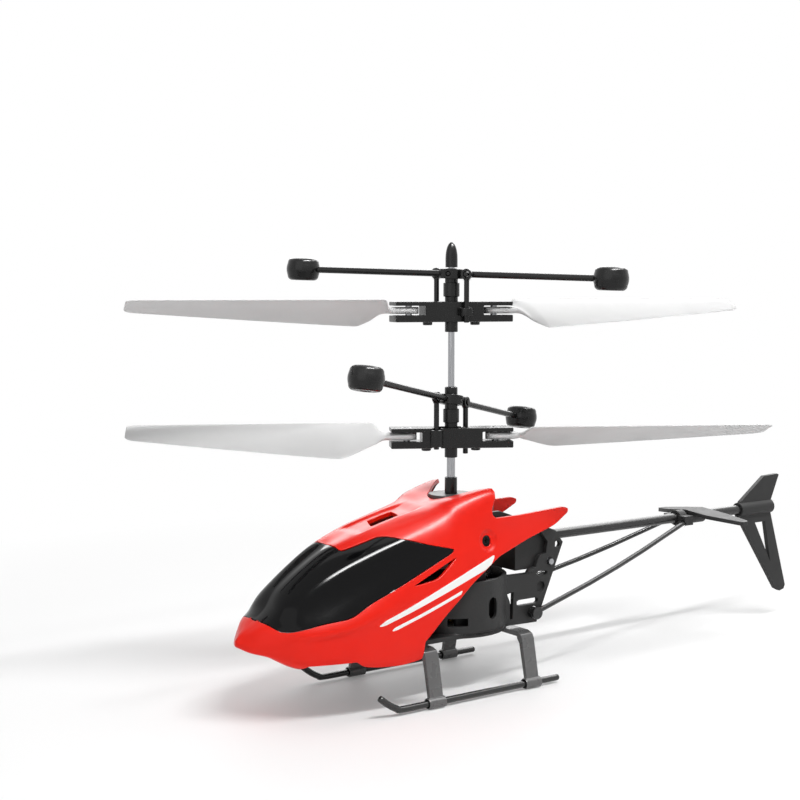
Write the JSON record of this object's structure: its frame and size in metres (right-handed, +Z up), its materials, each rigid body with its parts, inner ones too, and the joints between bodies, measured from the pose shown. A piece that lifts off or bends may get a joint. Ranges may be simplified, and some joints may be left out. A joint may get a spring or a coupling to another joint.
{
  "type": "toy helicopter",
  "caption": "Small indoor toy helicopter with coaxial contra-rotating rotors, weighted stabilizer bars, folding blades, gear drive, removable canopy, tail boom and skid landing gear.",
  "frame": {"origin": "on the ground under the middle of the whole object's box, with the rotors, bars and blades as in the picture", "axes": "+Y from the nose towards the tail fin, +X to the helicopter's left side, +Z up along the mast"},
  "size_m": [0.0902, 0.2048, 0.1095],
  "materials": {
    "red_gloss_plastic": "gloss moulded",
    "black_window": "high gloss",
    "black_frame_plastic": "fine matte",
    "black_rotor_plastic": "satin gloss",
    "dark_grey_plastic": "satin",
    "white_blade_plastic": "satin translucent",
    "bright_steel": "drawn",
    "brass": "turned",
    "black_nylon": "matte",
    "battery_wrap": "film wrapped",
    "green_board": "solder mask"
  },
  "bodies": {
    "airframe": {"canopy_shell": "red_gloss_plastic", "canopy_window": "black_window", "frame_left": "black_frame_plastic", "frame_right": "black_frame_plastic", "deck_plate": "dark_grey_plastic", "mast_collar": "black_rotor_plastic", "shaft_bush": "brass", "front_motor": "bright_steel", "rear_motor": "bright_steel", "battery": "battery_wrap", "circuit_board": "green_board", "infrared_sensor": "black_window", "charge_socket": "black_frame_plastic", "switch_body": "black_frame_plastic", "front_bow": "dark_grey_plastic", "rear_bow": "dark_grey_plastic", "left_skid": "dark_grey_plastic", "right_skid": "dark_grey_plastic", "boom_socket": "black_frame_plastic", "socket_pin": "bright_steel", "tail_boom": "dark_grey_plastic", "tail_fin": "dark_grey_plastic", "stabilizer": "dark_grey_plastic", "boom_clip": "dark_grey_plastic", "left_support_rod": "dark_grey_plastic", "right_support_rod": "dark_grey_plastic", "canopy_screw_left": "bright_steel", "canopy_screw_right": "bright_steel"},
    "lower_rotor": {"outer_shaft": "bright_steel", "lower_rotor_gear": "black_nylon", "lower_hub": "black_rotor_plastic"},
    "upper_rotor": {"inner_shaft": "bright_steel", "upper_rotor_gear": "black_nylon", "upper_hub": "black_rotor_plastic", "mast_cap": "black_rotor_plastic"},
    "front_pinion": {"front_pinion": "brass"},
    "rear_pinion": {"rear_pinion": "brass"},
    "switch_slider": {"switch_slider": "dark_grey_plastic"},
    "lower_flybar": {"lower_flybar": "black_rotor_plastic", "lower_weight_a": "black_rotor_plastic", "lower_weight_b": "black_rotor_plastic"},
    "lower_yoke": {"lower_yoke": "black_rotor_plastic", "lower_bolt_a": "bright_steel", "lower_bolt_b": "bright_steel"},
    "lower_link_a": {"lower_link_a": "black_rotor_plastic"},
    "lower_blade_a": {"lower_blade_a": "white_blade_plastic"},
    "lower_link_b": {"lower_link_b": "black_rotor_plastic"},
    "lower_blade_b": {"lower_blade_b": "white_blade_plastic"},
    "upper_flybar": {"upper_flybar": "black_rotor_plastic", "upper_weight_a": "black_rotor_plastic", "upper_weight_b": "black_rotor_plastic"},
    "upper_yoke": {"upper_yoke": "black_rotor_plastic", "upper_bolt_a": "bright_steel", "upper_bolt_b": "bright_steel"},
    "upper_link_a": {"upper_link_a": "black_rotor_plastic"},
    "upper_blade_a": {"upper_blade_a": "white_blade_plastic"},
    "upper_link_b": {"upper_link_b": "black_rotor_plastic"},
    "upper_blade_b": {"upper_blade_b": "white_blade_plastic"}
  },
  "joints": [
    {"name": "lower_rotor_spin", "type": "hinge", "parent": "airframe", "child": "lower_rotor", "pos_m": [0, -0.02402, 0.0613], "axis": [0, 0, 1], "continuous": true},
    {"name": "upper_rotor_spin", "type": "hinge", "parent": "airframe", "child": "upper_rotor", "pos_m": [0, -0.02402, 0.0924], "axis": [0, 0, 1], "continuous": true},
    {"name": "front_pinion_spin", "type": "hinge", "parent": "airframe", "child": "front_pinion", "pos_m": [0, -0.03377, 0], "axis": [0, 0, 1], "continuous": true},
    {"name": "rear_pinion_spin", "type": "hinge", "parent": "airframe", "child": "rear_pinion", "pos_m": [0, -0.01427, 0], "axis": [0, 0, 1], "continuous": true},
    {"name": "power_switch_slide", "type": "slide", "parent": "airframe", "child": "switch_slider", "axis": [0, 1, 0], "range_m": [0, 0.002]},
    {"name": "lower_flybar_teeter", "type": "hinge", "parent": "lower_rotor", "child": "lower_flybar", "pos_m": [0, -0.02402, 0.0706], "axis": [-0.9178, -0.3971, 0], "range_deg": [-24.6, 3.4]},
    {"name": "lower_yoke_rock", "type": "hinge", "parent": "lower_rotor", "child": "lower_yoke", "pos_m": [0, -0.02402, 0.0613], "axis": [0.4879, 0.8729, 0], "range_deg": [-9.84, 1.36]},
    {"name": "lower_link_a_pivot", "type": "hinge", "parent": "lower_flybar", "child": "lower_link_a", "pos_m": [-0.00016, -0.01938, 0.06979], "axis": [-0.9178, -0.3971, 0], "range_deg": [-3.4, 24.6]},
    {"name": "lower_blade_a_fold", "type": "hinge", "parent": "lower_yoke", "child": "lower_blade_a", "pos_m": [0.00542, -0.01433, 0.06165], "axis": [0, 0, 1], "range_deg": [-70, 30]},
    {"name": "lower_link_b_pivot", "type": "hinge", "parent": "lower_flybar", "child": "lower_link_b", "pos_m": [0.00016, -0.02867, 0.07141], "axis": [-0.9178, -0.3971, 0], "range_deg": [-3.4, 24.6]},
    {"name": "lower_blade_b_fold", "type": "hinge", "parent": "lower_yoke", "child": "lower_blade_b", "pos_m": [-0.00542, -0.03371, 0.06165], "axis": [0, 0, 1], "range_deg": [-70, 30]},
    {"name": "upper_flybar_teeter", "type": "hinge", "parent": "upper_rotor", "child": "upper_flybar", "pos_m": [0, -0.02402, 0.1017], "axis": [-0.5807, 0.8141, 0], "range_deg": [-15.9, 12.1]},
    {"name": "upper_yoke_rock", "type": "hinge", "parent": "upper_rotor", "child": "upper_yoke", "pos_m": [0, -0.02402, 0.0924], "axis": [0.309, 0.9511, 0], "range_deg": [-6.36, 4.84]},
    {"name": "upper_link_a_pivot", "type": "hinge", "parent": "upper_flybar", "child": "upper_link_a", "pos_m": [0.00457, -0.02285, 0.10155], "axis": [-0.5807, 0.8141, 0], "range_deg": [-12.1, 15.9]},
    {"name": "upper_blade_a_fold", "type": "hinge", "parent": "upper_yoke", "child": "upper_blade_a", "pos_m": [0.00343, -0.01346, 0.09275], "axis": [0, 0, 1], "range_deg": [-15, 70]},
    {"name": "upper_link_b_pivot", "type": "hinge", "parent": "upper_flybar", "child": "upper_link_b", "pos_m": [-0.00457, -0.02519, 0.10185], "axis": [-0.5807, 0.8141, 0], "range_deg": [-12.1, 15.9]},
    {"name": "upper_blade_b_fold", "type": "hinge", "parent": "upper_yoke", "child": "upper_blade_b", "pos_m": [-0.00343, -0.03458, 0.09275], "axis": [0, 0, 1], "range_deg": [-15, 70]}
  ],
  "couplings": [
    {"joint": "front_pinion_spin", "follows": "lower_rotor_spin", "ratio": -5},
    {"joint": "rear_pinion_spin", "follows": "upper_rotor_spin", "ratio": -5},
    {"joint": "lower_yoke_rock", "follows": "lower_flybar_teeter", "ratio": 0.4},
    {"joint": "lower_link_a_pivot", "follows": "lower_flybar_teeter", "ratio": -1},
    {"joint": "lower_link_b_pivot", "follows": "lower_flybar_teeter", "ratio": -1},
    {"joint": "upper_yoke_rock", "follows": "upper_flybar_teeter", "ratio": 0.4},
    {"joint": "upper_link_a_pivot", "follows": "upper_flybar_teeter", "ratio": -1},
    {"joint": "upper_link_b_pivot", "follows": "upper_flybar_teeter", "ratio": -1}
  ]
}
